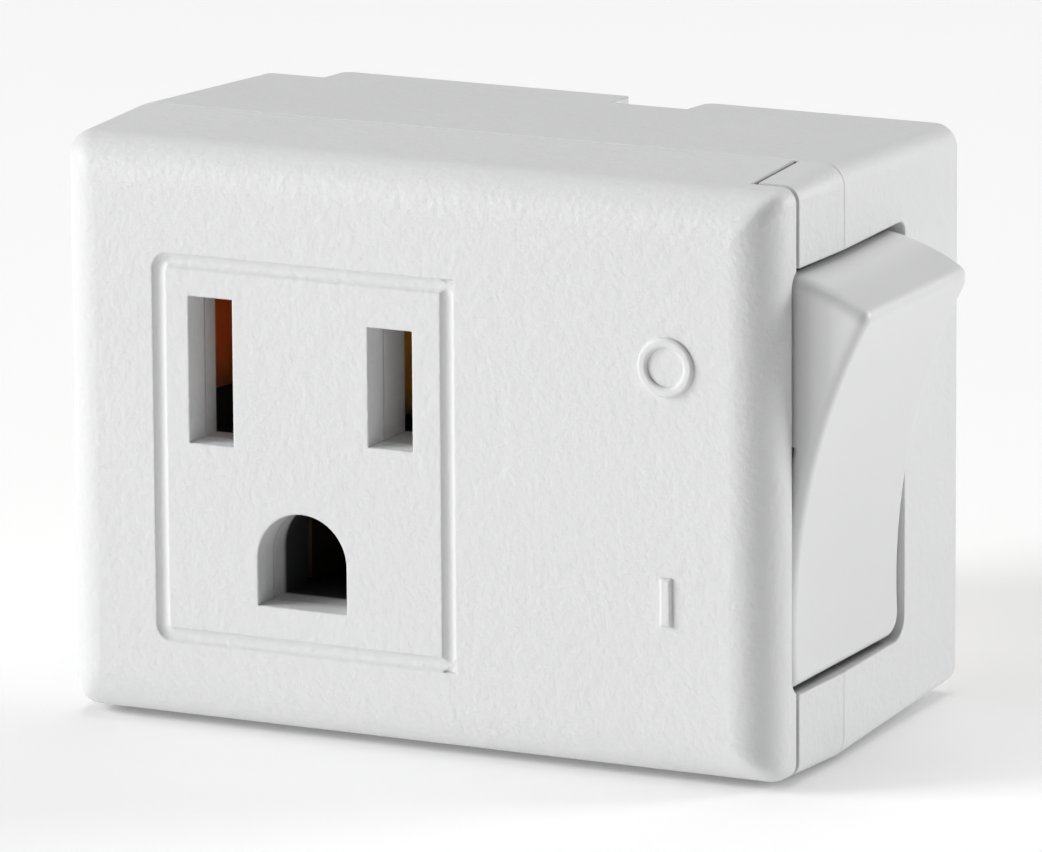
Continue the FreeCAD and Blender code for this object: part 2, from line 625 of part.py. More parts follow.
def make_rear_housing():
    """Rear shell with a tongue beside the cover, the switch opening and channels at the back."""
    body = new_body("rear_housing")
    rim = SEAM - S.rim_bevel
    shell_loft(body, "AdditiveLoft", "housing_shell", "housing", rim, ORIGIN)
    shell_loft(body, "AdditiveLoft", "housing_rim", "housing", SEAM, rim, (S.rim_bevel, ORIGIN))
    shell_loft(body, "AdditiveLoft", "tongue", "cover", SEAM, TONGUE_END)
    left = -S.side_left - OUTSIDE
    edge = S.side_right - S.tongue_width
    rest = front_sketch(body, "beside_tongue", SEAM, [rectangle(
        left, edge, -S.side_bottom - OUTSIDE, S.side_top + OUTSIDE)])
    pocket(body, rest, S.tongue_depth + 1.0, ahead=True)

    shell_hollow(body, "housing_inside", "housing", SEAM, BACK_FLOOR)
    shell_hollow(body, "tongue_inside", "cover", SEAM, TONGUE_END + 1.0)

    deep = front_sketch(body, "plug_pocket", BACK_FLOOR, [rectangle(
        -S.plug_pocket_half, S.plug_pocket_half, -S.plug_pocket_bottom, S.plug_pocket_top)])
    pocket(body, deep, BACK_FLOOR - S.back_wall)
    wall_in = S.right_channel_end + S.shell_wall
    switch_side = front_sketch(body, "switch_pocket", BACK_FLOOR, [rectangle(
        wall_in, S.side_right - 2 * S.shell_wall, MIDDLE - S.frame_half, MIDDLE + S.frame_half)])
    pocket(body, switch_side, BACK_FLOOR - S.back_wall)

    low = -S.side_bottom - OUTSIDE
    high = S.side_top + OUTSIDE
    channels = front_sketch(body, "back_channels", ORIGIN, [
        rectangle(left, -S.left_channel, low, high),
        rectangle(S.right_channel, S.right_channel_end, low, high)])
    pocket(body, channels, S.channel_depth, ahead=True)
    edges = (-S.left_channel.number, S.right_channel.number, S.right_channel_end.number)
    round_edges(body, "channel_rounding", S.channel_round, lambda e: channel_edge(e, edges))

    posts = [(x, z, S.post_radius) for x, z in screw_places()]
    post = front_sketch(body, "housing_posts", BACK_FLOOR - S.seat_gap, circles=posts)
    pad(body, post, S.post_meet - BACK_FLOOR)
    seats = [(x, z, S.head_radius + S.head_play) for x, z in screw_places()]
    seat = front_sketch(body, "head_seats", ORIGIN, circles=seats)
    pocket(body, seat, S.channel_depth + S.head_sink, ahead=True)
    holes = [(x, z, S.screw_radius + S.screw_play) for x, z in screw_places()]
    hole = front_sketch(body, "screw_holes", S.channel_depth, circles=holes)
    pocket(body, hole, S.post_meet, ahead=True)

    window = side_sketch(body, "switch_window", S.side_right + OUTSIDE, [window_outline(TONGUE_END + 1.0)])
    pocket(body, window, OUTSIDE + S.tongue_width)

    play = 2 * S.blade_play
    blades = front_sketch(body, "blade_openings", ORIGIN, [
        slot_outline(-BLADE, S.blade_thick + play, S.neutral_blade_width + play),
        slot_outline(BLADE, S.blade_thick + play, S.hot_blade_width + play)],
        [(ORIGIN, -S.ground_drop, S.pin_radius + S.pin_play)])
    pocket(body, blades, S.back_wall + 1.0, ahead=True)
    return body


def channel_edge(edge, places):
    """Long upright edges where the channels meet the wall plane."""
    box = box_of(edge)
    upright = box.ZLength > 10 and box.XLength < 0.05
    return upright and near(box.YMax, 0) and any(near(box.XMin, place) for place in places)


def make_contact_carrier():
    """Moulded block behind the outlet with a chamber for each contact."""
    body = new_body("contact_carrier")
    front = FACE_BACK - S.seat_gap
    block = front_sketch(body, "carrier_outline", S.carrier_back, [rectangle(
        -S.carrier_half, S.carrier_half, -S.carrier_bottom, S.carrier_top)])
    pad(body, block, front - S.carrier_back)
    openings = front_sketch(body, "carrier_openings", front, outlet_outlines())
    pocket(body, openings, front - S.carrier_back)
    chambers = [
        ("neutral_chamber", -BLADE, S.chamber_half, S.leaf_rise, S.leaf_height, S.neutral_slot, S.neutral_lip),
        ("hot_chamber", BLADE, S.chamber_half, S.hot_leaf_rise, S.leaf_height, S.hot_slot, S.hot_lip),
    ]
    for name, across, half, rise, height, slot, lip in chambers:
        top = rise + height / 2 + S.chamber_play
        bottom = -slot / 2 - S.chamber_play
        room = front_sketch(body, name, S.carrier_back, [rectangle(across - half, across + half, bottom, top)])
        pocket(body, room, S.body_depth - lip + S.lip_play - S.carrier_back, ahead=True)
    half_height = S.ground_leaf / 2 + S.chamber_play
    room = front_sketch(body, "ground_chamber_room", S.carrier_back, [rectangle(
        -S.ground_chamber, S.ground_chamber, -S.ground_drop - half_height - 0.4, -S.ground_drop + half_height)])
    pocket(body, room, S.body_depth - S.ground_lip + S.lip_play - S.carrier_back, ahead=True)
    return body


def make_blade_holder():
    """Moulded block in the housing's pocket that keeps the blades square."""
    body = new_body("blade_holder")
    back = S.back_wall + S.seat_gap
    block = front_sketch(body, "holder_outline", back, [rectangle(
        S.seat_gap - S.plug_pocket_half, S.plug_pocket_half - S.seat_gap,
        S.seat_gap - S.plug_pocket_bottom, S.plug_pocket_top - S.seat_gap)])
    pad(body, block, S.holder_front - back)
    play = 2 * S.blade_play
    slots = front_sketch(body, "holder_slots", back, [
        slot_outline(-BLADE, S.blade_thick + play, S.neutral_blade_width + play),
        slot_outline(BLADE, S.blade_thick + play, S.hot_blade_width + play)],
        [(ORIGIN, -S.ground_drop, S.pin_radius + S.pin_play)])
    pocket(body, slots, S.holder_front, ahead=True)
    head_room = front_sketch(body, "rivet_relief", FOOT_BACK - S.rivet_cap - S.seat_gap,
                             circles=[(-S.neutral_rivet, S.leaf_rise, S.rivet_head + S.rivet_play)])
    pocket(body, head_room, S.holder_front, ahead=True)
    return body


def leaf_outline(across, lip, lip_half, pinch, root_half, web, tail):
    """Folded strip seen from above: two leaves that close to a grip, and a web behind them.

    The tail, where there is one, is the place to the right that the web reaches.
    """
    t = S.strip
    lip_at = lip - S.body_depth
    pinch_at = lip_at - (web + lip_at) * S.pinch_share
    inner = [(lip_half, lip_at), (pinch, pinch_at), (root_half, -web)]
    outer = [(lip_half + t, lip_at), (pinch + t, pinch_at)]
    left_leaf = [(across - root_half - t, t - web)]
    left_leaf += [(across - x, y) for x, y in reversed(outer)]
    left_leaf += [(across - x, y) for x, y in inner]
    right_leaf = [(across + x, y) for x, y in reversed(inner)]
    right_leaf += [(across + x, y) for x, y in outer]
    if tail is None:
        return left_leaf + right_leaf + [(across + root_half + t, t - web)]
    return left_leaf + right_leaf + [(across + root_half + t, -web), (tail, -web), (tail, t - web)]


def make_contact(label, outline, web, middle, height, hole_place, hole_radius):
    """Female contact of folded strip, with a rivet hole in its web."""
    body = new_body(label)
    plan = top_sketch(body, label + "_plan", middle - height / 2, [outline])
    pad(body, plan, height)
    hole = front_sketch(body, label + "_hole", web - 2 * S.strip,
                        circles=[(hole_place, middle, hole_radius)])
    pocket(body, hole, 3 * S.strip, ahead=True)
    return body


def make_contacts():
    rivet = S.rivet_radius + S.rivet_play
    front_web = S.web_level + S.strip
    neutral = leaf_outline(-BLADE, S.neutral_lip, S.lip_half, S.pinch_half, S.root_half, front_web, -S.foot_end)
    hot = leaf_outline(BLADE, S.hot_lip, S.lip_half, S.pinch_half, S.root_half, S.hot_web, S.load_reach)
    ground = leaf_outline(ORIGIN, S.ground_lip, S.ground_lip_half, S.ground_pinch_half,
                          S.ground_lip_half, front_web, None)
    return [
        make_contact("neutral_contact", neutral, front_web, S.leaf_rise, S.leaf_height,
                     -S.neutral_rivet, rivet),
        make_contact("hot_contact", hot, S.hot_web, S.hot_leaf_rise, S.leaf_height,
                     load_rivet_place(), rivet),
        make_contact("ground_contact", ground, front_web, -S.ground_drop, S.ground_leaf,
                     ORIGIN, S.pin_stub + S.rivet_play),
    ]


def load_rivet_place():
    return S.load_reach - S.rivet_head - 0.2


def make_flat_blade(label, across, width, foot_end, rivet_at, rivet_up):
    """Flat blade with its root folded into a foot for the rivet."""
    body = new_body(label)
    half = S.blade_thick / 2
    bevel = S.blade_bevel
    tip = S.blade_length
    foot_front = -S.web_level
    foot_back = -FOOT_BACK
    plan = top_sketch(body, label + "_plan", -width / 2, [[
        (across - half, foot_front), (foot_end, foot_front), (foot_end, foot_back),
        (across + half, foot_back), (across + half, tip - 2 * bevel),
        (across + half - bevel, tip), (across - half + bevel, tip), (across - half, tip - 2 * bevel)]])
    pad(body, plan, width)
    corner = bevel * 2
    tip_number = tip.number
    round_edges(body, label + "_tip_corners", corner,
                lambda e: near(box_of(e).YMin, tip_number) and near(box_of(e).YMax, tip_number)
                and box_of(e).XLength > 0.3 and box_of(e).ZLength < 0.01)
    hole = side_sketch(body, label + "_hole", across - S.blade_thick,
                       circles=[(S.blade_hole_place, ORIGIN, S.blade_hole)])
    pocket(body, hole, 2 * S.blade_thick, ahead=True)
    rivet = front_sketch(body, label + "_rivet_hole", FOOT_BACK,
                         circles=[(rivet_at, rivet_up, S.rivet_radius + S.rivet_play)])
    pocket(body, rivet, S.blade_thick, ahead=True)
    return body


def make_ground_pin():
    """Turned ground pin: domed tip, round shank, flange and a stub riveted over the contact."""
    body = new_body("ground_pin")
    r = S.pin_radius
    neck = S.pin_neck
    stub_end = -S.web_level - S.strip
    head = stub_end - S.rivet_cap
    profile = [
        (ORIGIN, head), (S.pin_stub + 0.5, head), (S.pin_stub + 0.5, stub_end), (S.pin_stub, stub_end),
        (S.pin_stub, -S.web_level), (S.pin_flange, -S.web_level), (S.pin_flange, -FOOT_BACK),
        (neck, -FOOT_BACK), (neck, S.neck_end - r + neck), (r, S.neck_end),
        (r, S.pin_length - r, r), (ORIGIN, S.pin_length)]
    plan = top_sketch(body, "pin_profile", ORIGIN, [profile])
    turned = body.newObject("PartDesign::Revolution", "pin_turned")
    turned.Profile = plan
    turned.ReferenceAxis = (plan, ["V_Axis"])
    turned.Angle = 360
    body.Placement = Placement(Vector(0, 0, -S.ground_drop.number), Rotation())
    bind(body, ".Placement.Base.z", -S.ground_drop)
    doc.recompute()
    return body


def make_rocker():
    """Rocker: concave face, round ends about the pivot, trunnions and the plunger's guide.

    It is drawn level about its own pivot and then tilted to the on position.
    """
    body = new_body("rocker")
    ends = END_RADIUS * END_RADIUS
    tip = root_of(ends - S.tip_reach * S.tip_reach)
    root = root_of(ends - S.rocker_inner * S.rocker_inner)
    sag = S.tip_reach - S.face_reach
    bow = (tip * tip + sag * sag) / (2 * sag)
    profile = front_sketch(body, "rocker_profile", ROCKER_REAR, [[
        (-S.rocker_inner, -root, END_RADIUS), (S.tip_reach, -tip, -bow),
        (S.tip_reach, tip, END_RADIUS), (-S.rocker_inner, root)]])
    pad(body, profile, ROCKER_FRONT - ROCKER_REAR)
    low = S.face_reach.number - 0.1
    rear = -ROCKER_REAR.number
    front = -ROCKER_FRONT.number
    round_edges(body, "rocker_rear_corners", S.rocker_corner, lambda e: end_corner(e, rear, low))
    round_edges(body, "rocker_front_corners", S.rocker_front_corner, lambda e: end_corner(e, front, low))
    round_edges(body, "rocker_face_edges", S.rocker_edge, lambda e: box_of(e).XMin > low)

    make_rocker_hollow(body, root)
    boss = side_sketch(body, "plunger_guide", -S.boss_reach, circles=[(-ROCKER_MIDDLE, ORIGIN, S.boss_radius)])
    pad(body, boss, S.boss_reach + S.face_reach - S.rocker_skin)
    bore = side_sketch(body, "plunger_bore", -S.boss_reach, circles=[(-ROCKER_MIDDLE, ORIGIN, S.bore_radius)])
    pocket(body, bore, S.boss_reach + S.bore_floor, ahead=True)

    reach = S.cheek_play + S.cheek_wall
    for name, start, back in (("front_trunnion", RECESS_FRONT, False), ("rear_trunnion", RECESS_REAR, True)):
        trunnion = front_sketch(body, name, start, circles=[(ORIGIN, ORIGIN, S.trunnion_radius)])
        pad(body, trunnion, reach, back=back)
    place_turned(body, PIVOT, S.rocker_tilt)
    return body


def end_corner(edge, side, low):
    """Edge where a flank meets a round end: it starts well below the face."""
    box = box_of(edge)
    return near(box.YMin, side) and near(box.YMax, side) and box.XMin < low and box.XLength > 1.0


def make_rocker_hollow(body, root):
    """Hollow inside, narrower at the pivot, and recesses in the flanks for the bearing lugs."""
    wall = S.rocker_wall
    waist = S.waist_half
    end = root - wall - 0.15
    inner = -S.rocker_inner
    wide_front, wide_rear = wall - ROCKER_FRONT, -ROCKER_REAR - wall
    slim_front, slim_rear = wall - RECESS_FRONT, -RECESS_REAR - wall
    hollow = side_sketch(body, "rocker_hollow", inner, [[
        (wide_front, -end), (wide_rear, -end), (wide_rear, -waist), (slim_rear, -waist),
        (slim_rear, waist), (wide_rear, waist), (wide_rear, end), (wide_front, end),
        (wide_front, waist), (slim_front, waist), (slim_front, -waist), (wide_front, -waist)]])
    pocket(body, hollow, S.rocker_inner + S.face_reach - S.rocker_skin, ahead=True)
    half = S.recess_half
    recesses = side_sketch(body, "lug_recesses", inner, [
        rectangle(-ROCKER_FRONT - 1.0, -RECESS_FRONT, -half, half),
        rectangle(-RECESS_REAR, 1.0 - ROCKER_REAR, -half, half)])
    pocket(body, recesses, S.rocker_inner + S.recess_reach, ahead=True)


def place_turned(body, across, angle, forward=None):
    """Put a piece that was drawn about its pivot at the switch level and tilt it."""
    y = ORIGIN if forward is None else -forward
    body.Placement = Placement(Vector(across.number, y.number, MIDDLE.number),
                               Rotation(Vector(0, 1, 0), angle.number))
    bind(body, ".Placement.Base.x", across)
    bind(body, ".Placement.Base.z", MIDDLE)
    bind(body, ".Placement.Rotation.Angle", angle)
    doc.recompute()


def make_plunger():
    """Round-nosed plunger with a stem that centres the spring."""
    body = new_body("plunger")
    r = S.plunger_radius
    nose = S.lever_distance - S.tip_gap
    shoulder = -S.plunger_shoulder
    profile = front_sketch(body, "plunger_profile", ORIGIN, [[
        (-nose, ORIGIN), (r - nose, ORIGIN), (shoulder + S.stem_length, ORIGIN),
        (shoulder + S.stem_length, S.plunger_stem), (shoulder, S.plunger_stem), (shoulder, r),
        (r - nose, r, r)]])
    turned = body.newObject("PartDesign::Revolution", "plunger_turned")
    turned.Profile = profile
    turned.ReferenceAxis = (profile, ["H_Axis"])
    turned.Angle = 360
    centre_on_rocker(body)
    return body


def centre_on_rocker(body):
    """Place a turned piece on the rocker's middle line, tilted with the rocker."""
    body.Placement = Placement(Vector(PIVOT.number, -ROCKER_MIDDLE.number, MIDDLE.number),
                               Rotation(Vector(0, 1, 0), S.rocker_tilt.number))
    bind(body, ".Placement.Base.x", PIVOT)
    bind(body, ".Placement.Base.y", -ROCKER_MIDDLE)
    bind(body, ".Placement.Base.z", MIDDLE)
    bind(body, ".Placement.Rotation.Angle", S.rocker_tilt)
    doc.recompute()


def make_plunger_spring():
    """Compression spring between the bore's floor and the plunger's shoulder."""
    body = new_body("plunger_spring")
    wire = S.spring_wire / 2
    start = -S.plunger_shoulder + 0.02
    section = front_sketch(body, "spring_section", ORIGIN, [rectangle(
        start, start + S.spring_wire, S.spring_radius - wire, S.spring_radius + wire)])
    coil = body.newObject("PartDesign::AdditiveHelix", "spring_coil")
    coil.Profile = section
    coil.ReferenceAxis = (section, ["H_Axis"])
    coil.Mode = "height-turns-angle"
    length = S.plunger_shoulder + S.bore_floor - S.spring_wire - 0.04
    bind(coil, "Height", length)
    bind(coil, "Turns", S.spring_turns)
    centre_on_rocker(body)
    return body


def make_switch_frame():
    """Moulded frame: a base that carries the terminals and two cheeks with snap-in bearings."""
    body = new_body("switch_frame")
    base_face = load_plate_back()
    base_back = base_face - S.frame_wall
    high = MIDDLE + S.frame_half
    low = MIDDLE - S.frame_half
    rear = BACK_FLOOR + S.seat_gap
    front = FACE_BACK - S.seat_gap
    base = front_sketch(body, "frame_base", rear, [rectangle(base_back, base_face, low, high)])
    pad(body, base, front - rear)

    half = S.lug_half
    root_edge = cheek_edge(half)
    end_edge = cheek_edge(S.frame_half)
    lug_end = PIVOT + S.lug_reach
    cheek = [(base_face - 0.5, low), (end_edge, low), (root_edge, MIDDLE - half), (lug_end, MIDDLE - half),
             (lug_end, MIDDLE + half), (root_edge, MIDDLE + half), (end_edge, high), (base_face - 0.5, high)]
    starts = (("rear_cheek", RECESS_REAR - S.cheek_play - S.cheek_wall),
              ("front_cheek", RECESS_FRONT + S.cheek_play))
    for name, start in starts:
        wall = front_sketch(body, name, start, [cheek])
        pad(body, wall, S.cheek_wall)
    bearing = S.trunnion_radius + S.trunnion_play
    bores = front_sketch(body, "bearing_bores", starts[0][1] - 0.1, circles=[(PIVOT, MIDDLE, bearing)])
    pocket(body, bores, RECESS_FRONT - RECESS_REAR + 2 * S.cheek_wall + 1.0, ahead=True)
    mouths = front_sketch(body, "bearing_mouths", starts[0][1] - 0.1, [rectangle(
        PIVOT, lug_end + 1.0, MIDDLE - S.lug_mouth, MIDDLE + S.lug_mouth)])
    pocket(body, mouths, RECESS_FRONT - RECESS_REAR + 2 * S.cheek_wall + 1.0, ahead=True)

    gap = S.seat_gap
    line_slot = front_sketch(body, "line_slot", ROCKER_MIDDLE - S.line_half - gap, [rectangle(
        base_back - 1.0, base_face + 1.0, MIDDLE - S.strip / 2 - gap, MIDDLE + S.strip / 2 + gap)])
    pocket(body, line_slot, 2 * (S.line_half + gap), ahead=True)
    tab = S.tab_height / 2 + gap
    load_middle = contact_level()
    load_slot = front_sketch(body, "load_slot", S.hot_web - S.strip * 2 - gap, [rectangle(
        base_back - 1.0, base_face + 1.0, load_middle - tab, load_middle + tab)])
    pocket(body, load_slot, S.strip * 2 + 2 * gap, ahead=True)
    return body


def cheek_edge(away):
    """Cheek edge at a distance from the pivot's level, just clear of the rocker when it is tilted."""
    return PIVOT - (S.rocker_inner + S.cheek_clear) / cos_of(S.rocker_tilt) - away * tan_of(S.rocker_tilt)


def arm_place():
    """Where the moving tip sits, seen from the front: the inner side of the lever's upper arm."""
    inner = S.lever_face - S.lever_thick / cos_of(S.lever_vee) + S.contact_place * tan_of(S.lever_vee)
    tilt = S.lever_tilt
    across = LEVER_PIVOT + inner * cos_of(tilt) - S.contact_place * sin_of(tilt)
    up = MIDDLE + inner * sin_of(tilt) + S.contact_place * cos_of(tilt)
    return across, up


def contact_level():
    return arm_place()[1]


def load_plate_back():
    """Inner face of the load terminal, which lies on the switch frame's base."""
    tip_face = arm_place()[0] - S.contact_height * cos_of(S.lever_vee - S.lever_tilt)
    return tip_face - S.contact_gap - S.contact_height - S.strip


def make_contact_lever():
    """See-saw contact lever: a shallow vee with a notch that rides on the knife edge."""
    body = new_body("contact_lever")
    slope = tan_of(S.lever_vee)
    thick = S.lever_thick / cos_of(S.lever_vee)
    face = S.lever_face
    half = S.lever_half
    notch = S.notch_half
    outline = [
        (face, ORIGIN), (face + half * slope, half), (face + half * slope - thick, half),
        (face - thick + notch * slope, notch), (S.knife_play, ORIGIN),
        (face - thick + notch * slope, -notch), (face + half * slope - thick, -half),
        (face + half * slope, -half)]
    profile = front_sketch(body, "lever_profile", ROCKER_MIDDLE - S.lever_width / 2, [outline])
    pad(body, profile, S.lever_width)
    place_turned(body, LEVER_PIVOT, -S.lever_tilt)
    return body


def make_contact_tip(label, across, up, angle):
    """Silver contact with a domed face, riveted on the strip behind it."""
    body = new_body(label)
    r = S.contact_radius
    full = S.contact_height
    rim = full * 0.6
    dome = full - rim
    bow = (r * r + dome * dome) / (2 * dome)
    profile = front_sketch(body, label + "_profile", ORIGIN, [[
        (ORIGIN, ORIGIN), (full, ORIGIN, bow), (rim, r), (ORIGIN, r)]])
    turned = body.newObject("PartDesign::Revolution", label + "_turned")
    turned.Profile = profile
    turned.ReferenceAxis = (profile, ["H_Axis"])
    turned.Angle = 360
    body.Placement = Placement(Vector(across.number, -ROCKER_MIDDLE.number, up.number),
                               Rotation(Vector(0, 1, 0), angle.number))
    bind(body, ".Placement.Base.x", across)
    bind(body, ".Placement.Base.y", -ROCKER_MIDDLE)
    bind(body, ".Placement.Base.z", up)
    bind(body, ".Placement.Rotation.Angle", angle)
    doc.recompute()
    return body


def make_contact_tips():
    across, up = arm_place()
    turned = S.lever_vee - S.lever_tilt + 180
    moving = make_contact_tip("moving_contact_tip", across, up, turned)
    fixed = make_contact_tip("fixed_contact_tip", load_plate_back() + S.strip, up, ORIGIN)
    return [moving, fixed]


def make_line_terminal():
    """Line terminal: a flat tongue with a knife edge for the lever, and a tab for the rivet."""
    body = new_body("line_terminal")
    t = S.strip
    level = MIDDLE - t / 2
    front_side = -ROCKER_MIDDLE - S.line_half
    rear_side = S.line_half - ROCKER_MIDDLE
    beside_carrier = S.carrier_half + t
    behind_carrier = t - S.carrier_back
    tab_left = S.line_place - S.line_tab_half
    tab_right = S.line_place + S.line_tab_half
    plan = top_sketch(body, "line_plan", level, [[
        (tab_left, -S.web_level), (tab_left, behind_carrier), (beside_carrier, behind_carrier),
        (beside_carrier, front_side), (LEVER_PIVOT, front_side), (LEVER_PIVOT, rear_side),
        (tab_right + t, rear_side), (tab_right, -S.web_level)]])
    pad(body, plan, t)
    edge = LEVER_PIVOT.number
    round_edges(body, "knife_edge", S.knife_bevel,
                lambda e: near(box_of(e).XMin, edge) and near(box_of(e).XMax, edge) and box_of(e).YLength > 1,
                kind="Chamfer")
    tab = front_sketch(body, "line_tab", S.web_level, [rectangle(tab_left, tab_right, level, S.line_tab_top)])
    pad(body, tab, t)
    hole = front_sketch(body, "line_hole", S.web_level,
                        circles=[(S.line_place, ORIGIN, S.rivet_radius + S.rivet_play)])
    pocket(body, hole, t, ahead=True)
    return body


def make_load_terminal():
    """Load terminal: a plate for the fixed contact and a tab riveted to the hot contact."""
    body = new_body("load_terminal")
    t = S.strip
    inner = load_plate_back()
    tab_front = t - S.hot_web
    front = -ROCKER_MIDDLE - S.line_half
    tab_left = load_rivet_place() - S.rivet_head - 0.2
    plan = top_sketch(body, "load_plan", contact_level() - S.tab_height / 2, [[
        (inner, tab_front), (inner, front), (inner + t, front), (inner + t, tab_front + t),
        (tab_left, tab_front + t), (tab_left, tab_front)]])
    pad(body, plan, S.tab_height)
    hole = front_sketch(body, "load_hole", S.hot_web - 2 * t,
                        circles=[(load_rivet_place(), S.hot_leaf_rise, S.rivet_radius + S.rivet_play)])
    pocket(body, hole, t, ahead=True)
    return body


def rivet_shape(grip):
    """Rivet along Y from its hind head at Y = 0 to a like head beyond the grip."""
    shank = Part.makeCylinder(S.rivet_radius.number, grip, Vector(0, 0, 0), Vector(0, -1, 0))
    cap = S.rivet_cap.number
    r = S.rivet_head.number
    heads = []
    for face, way in ((0.0, 1.0), (-grip, -1.0)):
        heads.append(Part.makeCone(r, r - cap, cap, Vector(0, face, 0), Vector(0, way, 0)))
    return shank.fuse(heads).removeSplitter()


def make_feature(label, shape):
    feature = doc.addObject("Part::Feature", label)
    feature.Label = label
    feature.Shape = shape
    return feature


def make_rivets():
    """Two rivets through blade feet and strips, and a shorter one in the load strap."""
    long_rivet = rivet_shape((S.blade_thick + S.strip).number)
    foot_back = -FOOT_BACK.number
    places = [(-S.neutral_rivet.number, S.leaf_rise.number), (S.line_place.number, 0.0)]
    pair = []
    for x, z in places:
        rivet = long_rivet.copy()
        rivet.translate(Vector(x, foot_back, z))
        pair.append(rivet)
    blade_rivets = make_feature("blade_rivets", Part.makeCompound(pair))
    short = rivet_shape(2 * S.strip.number)
    load = make_feature("load_rivet", short)
    load.Placement = Placement(Vector(load_rivet_place().number, -(S.hot_web - 2 * S.strip).number,
                                      S.hot_leaf_rise.number), Rotation())
    return [blade_rivets, load]


def make_housing_screws():
    """Four pan-head screws from the channels of the back into the cover's posts."""
    head_top = (S.channel_depth + S.head_sink - S.head_height).number
    height = S.head_height.number
    r = S.head_radius.number
    head = Part.makeCylinder(r, height, Vector(0, -head_top, 0), Vector(0, -1, 0))
    rim = [e for e in head.Edges if near(box_of(e).YMin, -head_top) and near(box_of(e).YMax, -head_top)]
    head = head.makeChamfer(height * 0.4, rim)
    shank = Part.makeCylinder(S.screw_radius.number, S.screw_length.number - S.screw_radius.number,
                              Vector(0, -head_top - height, 0), Vector(0, -1, 0))
    shank_end = head_top + height + S.screw_length.number - S.screw_radius.number
    point = Part.makeCone(S.screw_radius.number, S.screw_radius.number * 0.3, S.screw_radius.number,
                          Vector(0, -shank_end, 0), Vector(0, -1, 0))
    screw = head.fuse([shank, point])
    w = S.cross_width.number
    span = S.cross_length.number
    depth = S.cross_depth.number
    for wide, tall in ((span, w), (w, span)):
        bar = Part.makeBox(wide, depth, tall, Vector(-wide / 2, -head_top - depth, -tall / 2))
        screw = screw.cut(bar)
    screw = screw.removeSplitter()
    screws = []
    for x, z in screw_places():
        one = screw.copy()
        one.translate(Vector(x.number, 0, z.number))
        screws.append(one)
    return make_feature("housing_screws", Part.makeCompound(screws))


def check_document():
    doc.recompute()
    for thing in doc.Objects:
        if "Invalid" in thing.State or "Error" in thing.State:
            raise RuntimeError("%s failed: %s" % (thing.Label, thing.State))


def export_parts(pieces):
    os.makedirs("parts", exist_ok=True)
    for piece in pieces:
        if piece.Shape.isNull() or not piece.Shape.isValid():
            raise RuntimeError(piece.Label + " has no valid shape")
    for piece in pieces:
        piece.Shape.exportStep("parts/%s.step" % piece.Label)
        print("%-20s %2d solid %10.2f mm3" % (piece.Label, len(piece.Shape.Solids), piece.Shape.Volume))


pieces = [make_front_cover(), make_rear_housing(), make_contact_carrier(), make_blade_holder()]
pieces += make_contacts()
pieces.append(make_flat_blade("neutral_blade", -BLADE, S.neutral_blade_width, -S.foot_end,
                              -S.neutral_rivet, S.leaf_rise))
pieces.append(make_flat_blade("hot_blade", BLADE, S.hot_blade_width, S.hot_foot_end, S.line_place, ORIGIN))
pieces.append(make_ground_pin())
pieces += [make_rocker(), make_plunger(), make_plunger_spring(), make_switch_frame()]
pieces.append(make_contact_lever())
pieces += make_contact_tips()
pieces += [make_line_terminal(), make_load_terminal()]
pieces += make_rivets()
pieces.append(make_housing_screws())

check_document()
export_parts(pieces)
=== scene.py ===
# %% [markdown]
# # A switched plug adapter, dressed and lit
# This lesson takes a finished CAD model of a small white plug adapter and makes a studio picture of
# it. The adapter has one grounded outlet on its front, three blades at its back and a rocker switch
# on its right side. The shapes come ready from the frame, so the lesson is about finishes, light and
# the camera. Everything is in metres: X runs right, Y runs into the wall and Z runs up.

# %% Load the model
import bpy
import math
from mathutils import Matrix, Vector


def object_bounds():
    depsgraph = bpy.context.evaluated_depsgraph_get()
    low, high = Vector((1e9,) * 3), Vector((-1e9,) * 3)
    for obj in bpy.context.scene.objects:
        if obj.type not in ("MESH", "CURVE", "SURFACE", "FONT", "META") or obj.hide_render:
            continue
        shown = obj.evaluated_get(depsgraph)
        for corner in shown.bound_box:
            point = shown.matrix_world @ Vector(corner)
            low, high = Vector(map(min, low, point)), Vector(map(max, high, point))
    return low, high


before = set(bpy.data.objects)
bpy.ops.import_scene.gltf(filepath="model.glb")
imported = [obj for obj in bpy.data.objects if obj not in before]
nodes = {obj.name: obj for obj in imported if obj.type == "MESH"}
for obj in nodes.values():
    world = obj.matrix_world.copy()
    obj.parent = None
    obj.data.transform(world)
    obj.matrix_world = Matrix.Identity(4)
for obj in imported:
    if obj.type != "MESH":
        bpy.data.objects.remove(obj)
cad_low, cad_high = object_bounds()
MM = 0.001
print("pieces:", len(nodes), "size in mm:", [round(v / MM, 2) for v in cad_high - cad_low])

# %% [markdown]
# ## Smooth the moulded corners
# The CAD mesh is made of small flat facets. On the real adapter the corners are polished steel
# impressions, so they look perfectly round. Smooth shading blends the facets, but the true edges,
# such as the rims of the slots, have to stay crisp. The way chosen is to shade every face smooth and
# mark each edge sharp where two faces meet at more than a given angle.

# %% Smooth shading with crisp rims
CRISP_ANGLE = math.radians(24)


def shade_softly(mesh):
    """Shade a mesh smooth, but keep its true edges sharp."""
    mesh.shade_smooth()
    mesh.set_sharp_from_angle(angle=CRISP_ANGLE)


for piece in nodes.values():
    shade_softly(piece.data)
print("smoothed:", len(nodes))

# %% [markdown]
# ## A small kit for materials
# Each finish is a set of shader nodes. The same few steps come back each time: make a material,
# read the place on the object in metres, sample a noise there, and turn it into a bump or a tint.
# Small helpers keep the later cells short, so that each of them shows only what is special about
# one finish.

